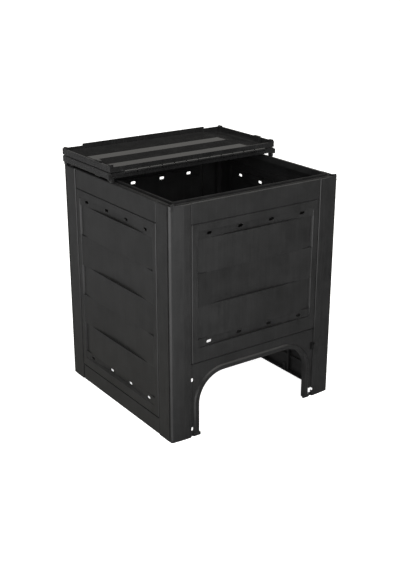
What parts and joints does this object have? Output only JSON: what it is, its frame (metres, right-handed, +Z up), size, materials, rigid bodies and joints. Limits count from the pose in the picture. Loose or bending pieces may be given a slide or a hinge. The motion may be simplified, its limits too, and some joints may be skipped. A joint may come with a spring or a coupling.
{
  "type": "compost bin with folding lid",
  "caption": "Square black plastic garden compost bin with panelled walls, air slots, an arched door opening and a two-part hinged lid folded half back.",
  "frame": {"origin": "centre of the footprint, on the ground plane under the bin", "axes": "+Z up; the front with the arched opening faces -Y; +X to the right seen from the front"},
  "size_m": [0.616, 0.6, 0.7675],
  "materials": {
    "bin_plastic": "satin",
    "lid_plastic": "satin",
    "peg_plastic": "matte",
    "rod_steel": "brushed"
  },
  "bodies": {
    "bin": {"front_wall": "bin_plastic", "rear_wall": "bin_plastic", "left_wall": "bin_plastic", "right_wall": "bin_plastic", "pegs_front_left": "peg_plastic", "pegs_front_right": "peg_plastic", "pegs_rear_left": "peg_plastic", "pegs_rear_right": "peg_plastic"},
    "lid_rear": {"lid_rear_half": "lid_plastic", "hinge_rod": "rod_steel"},
    "lid_front": {"lid_front_half": "lid_plastic"}
  },
  "joints": [
    {"name": "lid_lift_off", "type": "slide", "parent": "bin", "child": "lid_rear", "axis": [0, 0, 1], "range_m": [0, 0.06]},
    {"name": "lid_hinge", "type": "hinge", "parent": "lid_rear", "child": "lid_front", "pos_m": [0, 0, 0.741], "axis": [1, 0, 0], "range_deg": [0, 180]}
  ]
}
